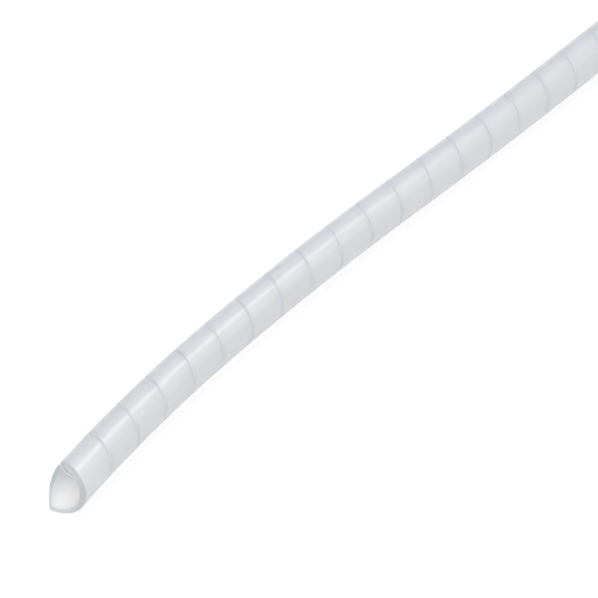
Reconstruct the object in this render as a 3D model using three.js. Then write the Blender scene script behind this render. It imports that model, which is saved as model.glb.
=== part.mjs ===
// Spiral cable wrap: one left-handed helical strip of polyethylene, cut from the wall of a tube,
// lying on a level surface with a gentle bend near its snipped end.
// Millimetres, +Z up. The straight run lies along +X and the tube rests on Z = 0.
import * as THREE from "three";

// Driving dimensions
const OUTER_DIAMETER = 12;
const WALL = 1.5;
const PITCH = 12.16; // advance of the strip in one turn
const SLIT = 0.3; // gap between neighbouring turns, measured along the axis
const LENGTH = 500; // along the centre line, from the snipped point to the square cut end

// The bends follow the centre line from the snipped end. What is left after them is straight.
const FIRST_BEND_LENGTH = 72;
const FIRST_BEND_ANGLE = THREE.MathUtils.degToRad(-8.5);
const SECOND_BEND_LENGTH = 72;
const SECOND_BEND_ANGLE = THREE.MathUtils.degToRad(-4.3);
const THIRD_BEND_LENGTH = 64;
const THIRD_BEND_ANGLE = THREE.MathUtils.degToRad(2);

// The snip runs aslant across the strip. Clock angles are counted from the top of the tube,
// to the right as seen along the centre line.
const SNIP_POINT_CLOCK = THREE.MathUtils.degToRad(208); // where the snip meets the strip's free edge
const SNIP_SWEEP = THREE.MathUtils.degToRad(90); // how far round the tube the snip runs
const SNIP_BOW = 0.25; // how far the middle of the snip is cut back from a straight line
const TIP_WIDTH = 0.3; // bluntness of the two pointed tips, along the axis

// The cuts through the wall lean: at the bore they lie nearer to the snipped end. At the snipped
// point they are square to the wall, and from there the lean grows both ways. It eases off once
// the free edge faces the next turn over the slit.
const RIM_LEAN = 0.8; // how far the open rim leans over the whole wall
const SLIT_LEAN = 0.45; // how far the slit leans over the whole wall
const SNIP_LEAN_SHARE = 0.55; // share of the snip on which its lean grows
const EDGE_LEAN_START = THREE.MathUtils.degToRad(45); // winding at which the free edge starts to lean
const EDGE_LEAN_FULL = THREE.MathUtils.degToRad(120); // winding from which it leans fully
const LEAN_EASING = THREE.MathUtils.degToRad(50); // winding over which the lean eases off

const STEPS_PER_TURN = 24;

// Worked out from the sizes above
const OUTER_RADIUS = OUTER_DIAMETER / 2;
const INNER_RADIUS = OUTER_RADIUS - WALL;
const STRIP_WIDTH = PITCH - SLIT;
const ADVANCE = PITCH / (2 * Math.PI); // advance for each radian of winding
const BENDS = [
  { length: FIRST_BEND_LENGTH, angle: FIRST_BEND_ANGLE },
  { length: SECOND_BEND_LENGTH, angle: SECOND_BEND_ANGLE },
  { length: THIRD_BEND_LENGTH, angle: THIRD_BEND_ANGLE },
];
const BEND_TOTAL = BENDS.reduce((sum, bend) => sum + bend.angle, 0);

// Winding angles, counted along the strip from the snipped point of its free edge
const WINDING_START = -SNIP_SWEEP * (1 - TIP_WIDTH / STRIP_WIDTH);
const WINDING_FULL_END = (LENGTH - STRIP_WIDTH) / ADVANCE;
const WINDING_BORE_FULL_END = (LENGTH - STRIP_WIDTH + SLIT_LEAN) / ADVANCE;
const WINDING_SLIT_START = 2 * Math.PI - SNIP_SWEEP;
const WINDING_END = (LENGTH - TIP_WIDTH) / ADVANCE;

// The centre line as straights and arcs in plan: where it is and how it heads at a distance along it.
function centreLine(distance) {
  let heading = -BEND_TOTAL;
  let x = 0;
  let y = 0;
  let left = distance;
  for (const bend of BENDS) {
    const run = Math.min(left, bend.length);
    const turned = (bend.angle * run) / bend.length;
    const chord = run * sinc(turned / 2);
    x += chord * Math.cos(heading + turned / 2);
    y += chord * Math.sin(heading + turned / 2);
    heading += turned;
    left -= run;
  }
  x += left * Math.cos(heading);
  y += left * Math.sin(heading);
  return { x, y, heading };
}

function sinc(angle) {
  return Math.abs(angle) < 1e-9 ? 1 : Math.sin(angle) / angle;
}

// The strip's two edges along the axis at a winding angle, on the outside or at the bore. The snip
// cuts the first edge back in a shallow bow, and the square cut stops the second one.
function stripEdges(winding, atBore) {
  const start = winding * ADVANCE;
  const snipped = winding < 0 ? winding / WINDING_START : 0;
  const cutBack = (STRIP_WIDTH - TIP_WIDTH) * snipped + SNIP_BOW * Math.sin(Math.PI * snipped);
  const first = start + cutBack;
  const second = start + STRIP_WIDTH;
  if (!atBore) return [first, Math.min(second, LENGTH)];
  const snipLean = RIM_LEAN * THREE.MathUtils.smoothstep(snipped, 0, SNIP_LEAN_SHARE);
  const firstLean = winding < 0 ? snipLean : helixLean(winding);
  return [first - firstLean, Math.min(second - helixLean(winding + 2 * Math.PI), LENGTH)];
}

// How far the helical cut leans at a winding angle of the strip's first edge. The second edge
// of the turn before faces it there, so both have the same lean.
function helixLean(winding) {
  const grown = THREE.MathUtils.smoothstep(winding, EDGE_LEAN_START, EDGE_LEAN_FULL);
  const slitEnd = WINDING_SLIT_START + LEAN_EASING;
  const eased = THREE.MathUtils.smoothstep(winding, WINDING_SLIT_START, slitEnd);
  return grown * THREE.MathUtils.lerp(RIM_LEAN, SLIT_LEAN, eased);
}

// Winding angles of the sections across the strip: the corners of its outline, and even steps,
// one of which in every turn points straight down.
function sectionAngles() {
  const step = (2 * Math.PI) / STEPS_PER_TURN;
  const shift = (SNIP_POINT_CLOCK - Math.PI) % step;
  const angles = [WINDING_START, 0, WINDING_FULL_END, WINDING_BORE_FULL_END, WINDING_END];
  for (let i = Math.ceil((WINDING_START - shift) / step); shift + i * step < WINDING_END; i += 1) {
    angles.push(shift + i * step);
  }
  angles.sort((a, b) => a - b);
  return angles.filter((angle, i) => i === 0 || angle - angles[i - 1] > step / 100);
}

// A point of the wound strip: its place along the axis, its winding angle and its radius.
function woundPoint(along, winding, radius) {
  const clock = SNIP_POINT_CLOCK - winding;
  const { x, y, heading } = centreLine(along);
  const right = radius * Math.sin(clock);
  return new THREE.Vector3(
    x + right * Math.sin(heading),
    y - right * Math.cos(heading),
    OUTER_RADIUS + radius * Math.cos(clock),
  );
}

// A flat bar with one segment for each section, wound into the tube with its lower face outside.
function windStrip() {
  const angles = sectionAngles();
  const sections = angles.length - 1;
  const strip = new THREE.BoxGeometry(sections, 1, 1, sections, 1, 1);
  const position = strip.getAttribute("position");
  for (let i = 0; i < position.count; i += 1) {
    const winding = angles[Math.round(position.getX(i) + sections / 2)];
    const atBore = position.getZ(i) > 0;
    const edges = stripEdges(winding, atBore);
    const along = position.getY(i) < 0 ? edges[0] : edges[1];
    const radius = atBore ? INNER_RADIUS : OUTER_RADIUS;
    const point = woundPoint(along, winding, radius);
    position.setXYZ(i, point.x, point.y, point.z);
  }
  strip.computeVertexNormals();
  return strip;
}

const milkyPolyethylene = new THREE.MeshStandardMaterial({
  name: "milky_polyethylene",
  color: 0xe6e8ea,
  roughness: 0.38,
  metalness: 0,
});

const spiralWrap = new THREE.Mesh(windStrip(), milkyPolyethylene);
spiralWrap.name = "spiral_wrap";

// The origin is at the middle of the part's footprint, on the surface that it lies on.
const box = new THREE.Box3().setFromObject(spiralWrap);
const middle = box.getCenter(new THREE.Vector3());
spiralWrap.position.set(-middle.x, -middle.y, -box.min.z);

const group = new THREE.Group();
group.add(spiralWrap);

export default group;
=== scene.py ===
"""Spiral cable wrap, dressed for a studio picture.

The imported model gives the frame. One finer mesh of the same helical strip stands for its node:
the strip is wound from the same sizes, with softened edges and a milky polyethylene finish.
Lengths are metres, and the frame's own axes are kept.
"""

from __future__ import annotations

import logging
import math
from dataclasses import dataclass, field
from enum import Enum
from typing import Any

import bpy
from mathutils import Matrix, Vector

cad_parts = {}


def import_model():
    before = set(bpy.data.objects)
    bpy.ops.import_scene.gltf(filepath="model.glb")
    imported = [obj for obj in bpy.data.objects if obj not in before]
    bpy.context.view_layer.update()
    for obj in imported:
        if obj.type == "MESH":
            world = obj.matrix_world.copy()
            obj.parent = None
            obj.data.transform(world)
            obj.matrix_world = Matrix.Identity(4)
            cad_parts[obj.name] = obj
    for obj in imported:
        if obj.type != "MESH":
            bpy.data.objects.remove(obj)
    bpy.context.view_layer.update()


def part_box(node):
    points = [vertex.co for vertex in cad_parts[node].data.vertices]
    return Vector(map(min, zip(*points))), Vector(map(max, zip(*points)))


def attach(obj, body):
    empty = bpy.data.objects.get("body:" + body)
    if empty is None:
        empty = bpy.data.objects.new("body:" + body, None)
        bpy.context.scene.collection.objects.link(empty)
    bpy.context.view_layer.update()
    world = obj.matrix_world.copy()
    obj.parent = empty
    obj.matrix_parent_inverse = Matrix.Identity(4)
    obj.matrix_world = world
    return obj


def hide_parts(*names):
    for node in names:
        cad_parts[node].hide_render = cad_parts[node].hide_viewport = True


LOG = logging.getLogger("spiral_wrap")
MM = 0.001
TURN = 2 * math.pi
NOISE_MIDDLE = 0.5
WHITE = (1.0, 1.0, 1.0, 1.0)
NODE = "spiral_wrap"
STRIP = "spiral_strip"
SLOT = "milky_polyethylene"
UNBENT = "unbent_place"  # attribute: the place each point would have on the straightened tube


class Edge(Enum):
    """The two kinds of edge on the strip, each with the attribute that holds the closeness to it."""

    SLIT = "slit_closeness"
    CUT = "cut_closeness"


class Wire:
    """One output of a shader node, with Python's operators for Math nodes."""

    def __init__(self, bench: "Bench", socket: Any) -> None:
        """Keeps a socket and the bench that it belongs to.

        Args:
            bench: the material's node bench.
            socket: the output socket.
        """
        self.bench = bench
        self.socket = socket

    def _math(self, operation: str, first: Any, second: Any) -> "Wire":
        """Adds one Math node and returns its output.

        Args:
            operation: the Math node's operation.
            first: the first number or wire.
            second: the second number or wire.

        Returns:
            The node's output.
        """
        return self.bench.node("ShaderNodeMath", {"operation": operation}, {0: first, 1: second})

    def __add__(self, other: Any) -> "Wire":
        """Sum of this wire and a number or wire."""
        return self._math("ADD", self, other)

    __radd__ = __add__

    def __mul__(self, other: Any) -> "Wire":
        """Product of this wire and a number or wire."""
        return self._math("MULTIPLY", self, other)

    __rmul__ = __mul__

    def __sub__(self, other: Any) -> "Wire":
        """This wire less a number or wire."""
        return self._math("SUBTRACT", self, other)

    def __rsub__(self, other: Any) -> "Wire":
        """A number less this wire."""
        return self._math("SUBTRACT", other, self)


class Bench:
    """A material's node tree, filled through one method."""

    def __init__(self, name: str) -> None:
        """Makes an empty material.

        Args:
            name: the material's name.
        """
        self.material = bpy.data.materials.new(name)
        self.material.use_nodes = True
        self.tree = self.material.node_tree
        self.tree.nodes.clear()

    def node(self, kind: str, settings: dict[str, Any], inputs: dict[Any, Any], output: Any = 0) -> Wire:
        """Adds a node: its settings first, then the values or links of its sockets.

        Args:
            kind: the node's type.
            settings: properties of the node.
            inputs: a number, colour or wire for each socket name or index.
            output: name or index of the output that is wanted, None for a node without one.

        Returns:
            The wanted output.
        """
        made = self.tree.nodes.new(kind)
        for name, value in settings.items():
            setattr(made, name, value)
        for name, value in inputs.items():
            if isinstance(value, Wire):
                self.tree.links.new(value.socket, made.inputs[name])
            else:
                made.inputs[name].default_value = value
        return Wire(self, None if output is None else made.outputs[output])

    def mix(self, share: Any, first: Any, second: Any) -> Wire:
        """Blends two colours.

        Args:
            share: how much of the second colour shows.
            first: a colour or wire.
            second: a colour or wire.

        Returns:
            The blended colour.
        """
        return self.node(
            "ShaderNodeMix", {"data_type": "RGBA"}, {0: share, 6: first, 7: second}, output=2
        )

    def finish(self, surface: Wire) -> bpy.types.Material:
        """Links the surface to the material's output.

        Args:
            surface: the shader's output.

        Returns:
            The finished material.
        """
        self.node("ShaderNodeOutputMaterial", {}, {"Surface": surface}, output=None)
        return self.material


@dataclass(frozen=True)
class Grain:
    """One kind of unevenness on the straightened tube."""

    size: float  # of one grain round the tube
    squeeze: float  # factor on the distance along the tube, under 1 for long grains
    detail: float  # octaves of finer noise


@dataclass(frozen=True)
class MilkyPolyethylene:
    """Natural polyethylene: milky, faintly cloudy, with fine drawing lines along the tube."""

    clear_colour: tuple[float, float, float, float] = (0.96, 0.96, 0.96, 1.0)
    cloudy_colour: tuple[float, float, float, float] = (0.935, 0.94, 0.945, 1.0)
    # painted shade of the slits: the skin darker and cooler by each slit
    painted_slit_shade: tuple[float, float, float, float] = (0.80, 0.835, 0.86, 1.0)
    # the cut ends' colour: their own greener tint, darkened as painted shade of the rim
    cut_tint_and_shade: tuple[float, float, float, float] = (0.54, 0.59, 0.575, 1.0)
    through_colour: tuple[float, float, float, float] = (0.98, 0.97, 0.955, 1.0)
    through_share: float = 0.55  # how much of the light goes on through the wall
    skin_roughness: float = 0.32
    cut_roughness: float = 0.55
    gloss: float = 0.8
    gloss_roughness: float = 0.22
    scatter_depth: float = 2.0 * MM
    scatter_colour: tuple[float, float, float] = (1.25, 1.05, 0.85)  # red light goes deepest
    refraction: float = 1.51
    clouds: Grain = Grain(size=9 * MM, squeeze=0.6, detail=3.0)
    draw_lines: Grain = Grain(size=0.35 * MM, squeeze=0.03, detail=2.0)
    handling_marks: Grain = Grain(size=2.5 * MM, squeeze=0.8, detail=4.0)
    knife_marks: Grain = Grain(size=0.3 * MM, squeeze=1.0, detail=3.0)
    handling_roughness: float = 0.10  # how far the handling marks vary the roughness
    line_roughness: float = 0.08  # how far the drawing lines vary it
    relief_height: float = 0.012 * MM
    relief_strength: float = 0.5
    line_relief: float = 0.7  # the drawing lines' share of the relief
    handling_relief: float = 0.3  # the handling marks' share of it

    def _noise(self, bench: Bench, grain: Grain) -> Wire:
        """Noise on the straightened tube, drawn out along it.

        Args:
            bench: the material's bench.
            grain: size, squeeze and detail of the noise.

        Returns:
            The noise, from 0 to 1.
        """
        place = bench.node("ShaderNodeAttribute", {"attribute_name": UNBENT}, {}, output="Vector")
        squeezed = bench.node(
            "ShaderNodeVectorMath",
            {"operation": "MULTIPLY"},
            {0: place, 1: (grain.squeeze, 1.0, 1.0)},
        )
        return bench.node(
            "ShaderNodeTexNoise",
            {},
            {"Vector": squeezed, "Scale": 1.0 / grain.size, "Detail": grain.detail},
        )

    def material(self) -> bpy.types.Material:
        """Mixes the drawn skin with painted shade by each slit, darker and cooler, and with greener and
        rougher cut ends that are darkened with painted shade.

        Returns:
            The material.
        """
        bench = Bench(SLOT)
        by_slit, by_cut = (
            bench.node("ShaderNodeAttribute", {"attribute_name": edge.value}, {}, output="Fac")
            for edge in (Edge.SLIT, Edge.CUT)
        )
        clouds = self._noise(bench, self.clouds)
        lines = self._noise(bench, self.draw_lines)
        handling = self._noise(bench, self.handling_marks)
        knife = self._noise(bench, self.knife_marks)
        skin = bench.mix(clouds, self.clear_colour, self.cloudy_colour)
        # painted shade: by each slit the skin turns darker and cooler; the cut ends get their greener
        # tint, darkened with painted shade
        colour = bench.mix(by_cut, bench.mix(by_slit, skin, self.painted_slit_shade), self.cut_tint_and_shade)
        gain = self.cut_roughness - self.skin_roughness
        handled = self.skin_roughness + self.handling_roughness * (handling - NOISE_MIDDLE)
        lined = handled + self.line_roughness * (lines - NOISE_MIDDLE)
        roughness = lined + by_cut * gain
        relief = lines * self.line_relief + handling * self.handling_relief + by_cut * knife
        bump = bench.node(
            "ShaderNodeBump",
            {},
            {"Strength": self.relief_strength, "Distance": self.relief_height, "Height": relief},
        )
        plastic = bench.node(
            "ShaderNodeBsdfPrincipled",
            {"subsurface_method": "RANDOM_WALK"},
            {
                "Base Color": colour,
                "Roughness": roughness,
                "Normal": bump,
                "IOR": self.refraction,
                "Specular IOR Level": 1.0,
                "Coat Weight": self.gloss,
                "Coat Roughness": self.gloss_roughness,
                "Subsurface Weight": 1.0,
                "Subsurface Radius": self.scatter_colour,
                "Subsurface Scale": self.scatter_depth,
            },
        )
        through = bench.node(
            "ShaderNodeBsdfTranslucent", {}, {"Color": self.through_colour, "Normal": bump}
        )
        milky = bench.node("ShaderNodeMixShader", {}, {0: self.through_share, 1: plastic, 2: through})
        return bench.finish(milky)


@dataclass(frozen=True)
class Bend:
    """One arc of the centre line."""

    length: float
    angle: float


@dataclass(frozen=True)
class Place:
    """A point of the centre line in plan, and the way it heads there."""

    x: float
    y: float
    heading: float


@dataclass
class CentreLine:
    """The line through the middle of the tube: three arcs from the snipped end, then straight."""

    bends: tuple[Bend, ...] = (
        Bend(72 * MM, math.radians(-8.5)),
        Bend(72 * MM, math.radians(-4.3)),
        Bend(64 * MM, math.radians(2.0)),
    )
    start_x: float = 0.0
    start_y: float = 0.0

    def at(self, distance: float) -> Place:
        """Finds a place on the line.

        Args:
            distance: how far along the line, from the snipped end.

        Returns:
            The place there.
        """
        heading = -sum(bend.angle for bend in self.bends)
        x, y, left = self.start_x, self.start_y, distance
        for bend in self.bends:
            run = min(left, bend.length)
            turned = bend.angle * run / bend.length
            chord = run * (math.sin(turned / 2) / (turned / 2) if turned else 1.0)
            x += chord * math.cos(heading + turned / 2)
            y += chord * math.sin(heading + turned / 2)
            heading += turned
            left -= run
        return Place(x + left * math.cos(heading), y + left * math.sin(heading), heading)


@dataclass(frozen=True)
class SectionPoint:
    """One point of a section across the strip."""

    along: float
    radius: float
    edge: Edge
    closeness: float


@dataclass
class SpiralStrip:
    """The wrap's one piece: a strip wound left-handed into a tube, its turns almost touching."""

    outer_radius: float
    line: CentreLine
    wall: float = 1.5 * MM
    pitch: float = 12.16 * MM
    slit: float = 0.3 * MM
    length: float = 500 * MM
    snip_clock: float = math.radians(208)  # from the top, where the snip meets the free edge
    snip_sweep: float = math.radians(90)  # how far round the tube the snip runs
    snip_bow: float = 0.25 * MM  # how far the middle of the snip is cut back from a straight line
    tip_width: float = 0.3 * MM  # bluntness of the two pointed tips
    rim_lean: float = 0.8 * MM  # how much nearer to the snipped end the open rim lies at the bore
    slit_lean: float = 0.45 * MM  # the same for the slit
    snip_lean_share: float = 0.55  # share of the snip on which its lean grows
    edge_lean_start: float = math.radians(45)  # winding at which the free edge starts to lean
    edge_lean_full: float = math.radians(120)  # winding from which it leans fully
    lean_easing: float = math.radians(25)  # winding over which the rim's lean turns into the slit's
    skin_clearance: float = 0.05 * MM  # how far the skin stays inside the tube's outer radius
    slit_edge_radius: float = 0.20 * MM
    cut_edge_radius: float = 0.10 * MM
    margin: float = 0.5 * MM  # how far from an edge the painted shade, and on a cut the cut's own tint, reaches over the skin
    cut_margin_share: float = 0.3  # how much of that margin the greener tint and painted shade of a cut take
    edge_room_share: float = 0.2  # most that an edge's radius or margin takes of a narrow tip
    knife_wander: float = 0.04 * MM  # widest waver of the knife
    wander_rate: float = 0.61  # radians of the knife's waver for each radian of winding
    wander_drift: float = 0.4  # radians by which the waver runs early or late
    wander_drift_rate: float = 1.7
    wander_room_share: float = 0.25  # most that the waver takes of a narrow tip
    steps_per_turn: int = 60
    least_step_share: float = 0.02  # sections closer than this share of a step are one
    corner_steps: int = 3
    margin_steps: int = 3
    outer_steps: int = 6
    inner_steps: int = 4
    advance: float = field(init=False)
    strip_width: float = field(init=False)
    snip_start: float = field(init=False)
    slit_start: float = field(init=False)

    def __post_init__(self) -> None:
        """Works out the advance for each radian, the strip's width, and where strip and slit start."""
        self.advance = self.pitch / TURN
        self.strip_width = self.pitch - self.slit
        self.snip_start = -self.snip_sweep * (1 - self.tip_width / self.strip_width)
        self.slit_start = TURN - self.snip_sweep

    def windings(self) -> list[float]:
        """Spaces the sections evenly, with the corners of the strip's outline among them.

        Returns:
            The winding angle of each section.
        """
        step = TURN / self.steps_per_turn
        end = (self.length - self.tip_width) / self.advance
        corner = (self.length - self.strip_width) / self.advance
        bore_corner = corner + self.slit_lean / self.advance
        even = [i * step for i in range(math.ceil(self.snip_start / step), math.ceil(end / step))]
        angles = sorted([self.snip_start, corner, bore_corner, end] + even)
        least = step * self.least_step_share
        return [a for i, a in enumerate(angles) if i == 0 or a - angles[i - 1] > least]

    def edges(self, winding: float) -> tuple[float, float]:
        """The strip's two edges along the tube.

        Args:
            winding: winding angle, from the snipped point.

        Returns:
            Where the free edge and the far edge lie.
        """
        free = winding * self.advance
        far = min(free + self.strip_width, self.length)
        if winding < 0:
            snipped = winding / self.snip_start
            free += (self.strip_width - self.tip_width) * snipped
            free += self.snip_bow * math.sin(math.pi * snipped)
        drift = self.wander_drift * math.sin(winding * self.wander_drift_rate)
        wander = self.knife_wander * (1 + math.sin(winding * self.wander_rate + drift)) / 2
        room = max(0.0, far - free - self.tip_width)
        shift = min(wander, self.wander_room_share * room)
        return free + shift, far - (shift if far < self.length else 0.0)

    def helix_lean(self, winding: float) -> float:
        """How far the helical cut leans.

        Args:
            winding: winding angle of the free edge, or of the far edge that faces it plus one turn.

        Returns:
            How much nearer to the snipped end the cut lies at the bore.
        """
        grown = smooth_step(winding, self.edge_lean_start, self.edge_lean_full)
        eased = smooth_step(winding, self.slit_start, self.slit_start + self.lean_easing)
        return grown * (self.rim_lean + (self.slit_lean - self.rim_lean) * eased)

    def leans(self, winding: float) -> tuple[float, float]:
        """How far the strip's two edges lean over the whole wall.

        Args:
            winding: winding angle of the section.

        Returns:
            The lean of the free edge, which may be the snip, and of the far edge.
        """
        free = self.helix_lean(winding)
        if winding < 0:
            free = self.rim_lean * smooth_step(winding / self.snip_start, 0.0, self.snip_lean_share)
        past_end = max(0.0, winding * self.advance + self.strip_width - self.length)
        return free, max(0.0, self.helix_lean(winding + TURN) - past_end)

    def edge_kinds(self, winding: float) -> tuple[Edge, Edge]:
        """Which edges face open air as cut ends, and which face the next turn over a slit.

        Args:
            winding: winding angle of the section.

        Returns:
            The kinds of the free edge and of the far edge.
        """
        last_faced = (self.length - self.strip_width) / self.advance
        return (
            Edge.CUT if winding < self.slit_start else Edge.SLIT,
            Edge.CUT if winding > last_faced else Edge.SLIT,
        )

    def side(self, winding: float, free: bool) -> list[SectionPoint]:
        """One edge of the strip with its margins, from the bore's side to the outside.

        Args:
            winding: winding angle of the section.
            free: the free edge, or else the far edge.

        Returns:
            The points, in order.
        """
        near, far = self.edges(winding)
        kind = self.edge_kinds(winding)[0 if free else 1]
        edge, inward = (near, 1.0) if free else (far, -1.0)
        room = self.edge_room_share * (far - near)
        soft = min(self.cut_edge_radius if kind is Edge.CUT else self.slit_edge_radius, room)
        margin = min(self.margin, room)
        reach = margin * (self.cut_margin_share if kind is Edge.CUT else 1.0)
        lean = self.leans(winding)[0 if free else 1] / self.wall
        outer = self.outer_radius - self.skin_clearance
        inner = self.outer_radius - self.wall
        places = [(soft + margin * i / self.margin_steps, inner) for i in range(self.margin_steps, 0, -1)]
        for turn, radius in ((1.0, inner + soft), (2.0, outer - soft)):
            for i in range(self.corner_steps + 1):
                angle = math.pi / 2 * (turn + i / self.corner_steps)
                places.append((soft + soft * math.cos(angle), radius - soft * math.sin(angle)))
        places += [(soft + margin * i / self.margin_steps, outer) for i in range(1, self.margin_steps + 1)]
        return [
            SectionPoint(
                edge + inward * depth - lean * (self.outer_radius - radius),
                radius,
                kind,
                max(0.0, 1.0 - max(0.0, depth - soft) / reach),
            )
            for depth, radius in places
        ]

    def section(self, winding: float) -> list[SectionPoint]:
        """One section across the strip, once round it.

        Args:
            winding: winding angle of the section.

        Returns:
            Its points: over the bore's face, up the far edge, back over the outside, down the free edge.
        """
        free, far = self.side(winding, True), self.side(winding, False)

        def between(start: SectionPoint, stop: SectionPoint, steps: int) -> list[SectionPoint]:
            """Spaces points over the broad face between two margins.

            Args:
                start: the last point of one margin.
                stop: the first point of the other margin.
                steps: how many parts the face is divided into.

            Returns:
                The points between them.
            """
            span = stop.along - start.along
            return [
                SectionPoint(start.along + span * i / steps, start.radius, start.edge, 0.0)
                for i in range(1, steps)
            ]

        across_bore = between(free[0], far[0], self.inner_steps)
        across_outside = between(far[-1], free[-1], self.outer_steps)
        return across_bore + far + across_outside + free[::-1]

    def wound(self, along: float, winding: float, radius: float) -> tuple[Vector, Vector]:
        """Winds one point of the strip onto the bent tube.

        Args:
            along: distance along the tube.
            winding: winding angle.
            radius: distance from the centre line.

        Returns:
            Its place in the frame, and its place on the straightened tube.
        """
        clock = self.snip_clock - winding
        right, up = radius * math.sin(clock), radius * math.cos(clock)
        at = self.line.at(along)
        bent = Vector(
            (
                at.x + right * math.sin(at.heading),
                at.y - right * math.cos(at.heading),
                self.outer_radius + up,
            )
        )
        return bent, Vector((along, right, up))

    def build(self) -> bpy.types.Object:
        """Makes the strip's mesh: sections joined by four-sided faces, closed at both tips.

        Returns:
            The strip's object.
        """
        windings = self.windings()
        sections = [self.section(winding) for winding in windings]
        ring = len(sections[0])
        places: list[Vector] = []
        unbent: list[Vector] = []
        for winding, section in zip(windings, sections):
            for point in section:
                bent, straight = self.wound(point.along, winding, point.radius)
                places.append(bent)
                unbent.append(straight)
        faces: list[tuple[int, ...]] = []
        for start in range(0, len(places) - ring, ring):
            for i in range(ring):
                a, b = start + i, start + (i + 1) % ring
                faces.append((a, b, b + ring, a + ring))
        walls = len(faces)
        faces.append(tuple(reversed(range(ring))))
        faces.append(tuple(range(len(places) - ring, len(places))))
        mesh = bpy.data.meshes.new(STRIP)
        mesh.from_pydata(places, [], faces)
        mesh.polygons.foreach_set("use_smooth", [index < walls for index in range(len(faces))])
        layer = mesh.attributes.new(UNBENT, "FLOAT_VECTOR", "POINT")
        layer.data.foreach_set("vector", [c for point in unbent for c in point])
        for edge in Edge:
            layer = mesh.attributes.new(edge.value, "FLOAT", "POINT")
            points = (point for section in sections for point in section)
            layer.data.foreach_set("value", [p.closeness if p.edge is edge else 0.0 for p in points])
        mesh.update()
        strip = bpy.data.objects.new(STRIP, mesh)
        bpy.context.scene.collection.objects.link(strip)
        return strip

    def dress(self, strip: bpy.types.Object, finish: MilkyPolyethylene) -> None:
        """Gives the strip its finish."""
        strip.data.materials.append(finish.material())


@dataclass(frozen=True)
class SoftBox:
    """One oblong area light that faces the wrap."""

    name: str
    azimuth: float
    elevation: float
    distance: float
    width: float
    depth: float
    radiance: float
    colour: tuple[float, float, float]

    def build(self, middle: Vector) -> None:
        """Hangs the light round a point and turns it to face that point.

        Args:
            middle: the point that the light faces.
        """
        light = bpy.data.lights.new(self.name, "AREA")
        light.shape = "RECTANGLE"
        light.size = self.width
        light.size_y = self.depth
        light.color = self.colour
        light.energy = self.radiance * math.pi * self.width * self.depth
        lamp = bpy.data.objects.new(self.name, light)
        back = direction(self.azimuth, self.elevation)
        lamp.location = middle + back * self.distance
        lamp.rotation_euler = (-back).to_track_quat("-Z", "Y").to_euler()
        bpy.context.scene.collection.objects.link(lamp)


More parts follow.
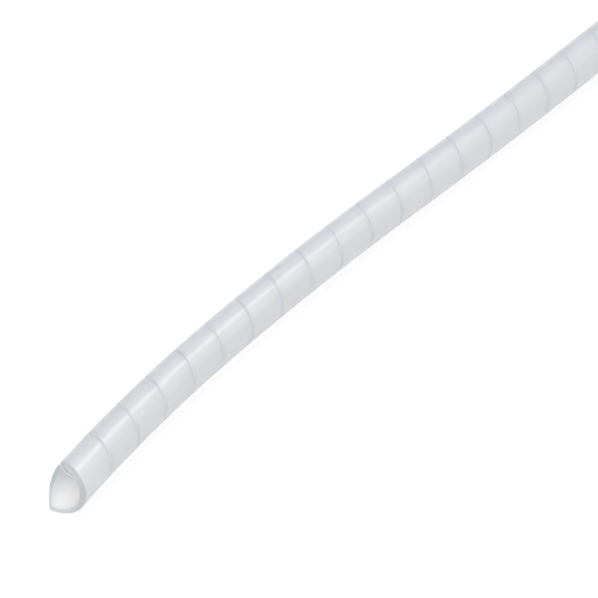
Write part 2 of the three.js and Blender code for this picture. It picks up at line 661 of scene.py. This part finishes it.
@dataclass
class Studio:
    """A plain pale floor, soft light and the camera."""

    floor_half: float = 6.0
    floor_colour: tuple[float, float, float, float] = (0.18, 0.18, 0.18, 1.0)
    floor_glow: float = 0.83
    floor_roughness: float = 0.9
    sky_colour: tuple[float, float, float, float] = (0.36, 1.0, 2.05, 1.0)
    sky_strength: float = 0.12
    boxes: tuple[SoftBox, ...] = (
        SoftBox(
            name="overhead",
            azimuth=math.radians(180),
            elevation=math.radians(86),
            distance=1.2,
            width=1.5,
            depth=0.42,
            radiance=5.8,
            colour=(1.02, 1.0, 0.94),
        ),
        SoftBox(
            name="camera_side",
            azimuth=0.0,
            elevation=math.radians(60),
            distance=1.3,
            width=1.5,
            depth=0.6,
            radiance=2.4,
            colour=(1.15, 1.0, 0.87),
        ),
    )
    lens: float = 253.0  # millimetres, as is the sensor
    sensor_width: float = 36.0
    nearest: float = 0.05
    furthest: float = 50.0
    camera_azimuth: float = math.radians(-47.76)
    camera_elevation: float = math.radians(45.58)
    camera_distance: float = 1.1376
    target: tuple[float, float, float] = (-0.14997, 0.001814, 0.0)

    def build_floor(self) -> None:
        """A wide level floor just under the wrap, glowing softly like a light table."""
        half = self.floor_half
        mesh = bpy.data.meshes.new("floor")
        places = [(-half, -half, 0), (half, -half, 0), (half, half, 0), (-half, half, 0)]
        mesh.from_pydata(places, [], [(0, 1, 2, 3)])
        floor = bpy.data.objects.new("floor", mesh)
        bench = Bench("pale_floor")
        surface = bench.node(
            "ShaderNodeBsdfPrincipled",
            {},
            {
                "Base Color": self.floor_colour,
                "Roughness": self.floor_roughness,
                "Emission Color": WHITE,
                "Emission Strength": self.floor_glow,
            },
        )
        mesh.materials.append(bench.finish(surface))
        bpy.context.scene.collection.objects.link(floor)

    def build_light(self) -> None:
        """A dim, blue surround and the soft boxes."""
        world = bpy.data.worlds.new("studio")
        world.use_nodes = True
        background = world.node_tree.nodes["Background"]
        background.inputs["Color"].default_value = self.sky_colour
        background.inputs["Strength"].default_value = self.sky_strength
        bpy.context.scene.world = world
        for box in self.boxes:
            box.build(Vector(self.target))

    def build_camera(self) -> None:
        """The camera, far off with a long lens, looking down the wrap from its snipped end."""
        data = bpy.data.cameras.new("camera")
        data.lens = self.lens
        data.sensor_width = self.sensor_width
        data.clip_start = self.nearest
        data.clip_end = self.furthest
        camera = bpy.data.objects.new("camera", data)
        back = direction(self.camera_azimuth, self.camera_elevation)
        camera.location = Vector(self.target) + back * self.camera_distance
        camera.rotation_euler = (-back).to_track_quat("-Z", "Y").to_euler()
        bpy.context.scene.collection.objects.link(camera)
        bpy.context.scene.camera = camera

    def build(self) -> None:
        """Makes the whole studio."""
        self.build_floor()
        self.build_light()
        self.build_camera()
        bpy.context.scene.view_settings.view_transform = "Standard"


def smooth_step(value: float, start: float, full: float) -> float:
    """Rises smoothly from 0 to 1.

    Args:
        value: where to look.
        start: the value up to which it stays 0.
        full: the value from which it stays 1.

    Returns:
        The share reached, from 0 to 1.
    """
    share = min(1.0, max(0.0, (value - start) / (full - start)))
    return share * share * (3.0 - 2.0 * share)


def direction(azimuth: float, elevation: float) -> Vector:
    """The way from the wrap to something round it.

    Args:
        azimuth: 0 is on the -Y side, a quarter turn is on the +X side.
        elevation: angle above the floor.

    Returns:
        A unit vector.
    """
    level = math.cos(elevation)
    return Vector((math.sin(azimuth) * level, -math.cos(azimuth) * level, math.sin(elevation)))


def centred_line(low: Vector, shape: SpiralStrip) -> CentreLine:
    """Places the centre line so that the wound strip starts at the corner of the node's box.

    Args:
        low: lowest corner of the CAD node.
        shape: a strip wound on a line that starts at the origin.

    Returns:
        The centre line in the frame.
    """
    points = [
        shape.wound(along, winding, shape.outer_radius)[0]
        for winding in shape.windings()
        for along in shape.edges(winding)
    ]
    return CentreLine(
        start_x=low.x - min(point.x for point in points),
        start_y=low.y - min(point.y for point in points),
    )


def main() -> None:
    """Loads the frame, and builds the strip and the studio."""
    logging.basicConfig(level=logging.INFO, format="%(name)s: %(message)s")
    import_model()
    low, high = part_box(NODE)
    shape = SpiralStrip(outer_radius=(high.z - low.z) / 2, line=CentreLine())
    shape.line = centred_line(low, shape)
    strip = shape.build()
    shape.dress(strip, MilkyPolyethylene())
    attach(strip, "root")
    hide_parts(NODE)
    LOG.info("%s: %d faces", strip.name, len(strip.data.polygons))
    Studio().build()


if __name__ == "__main__":
    main()
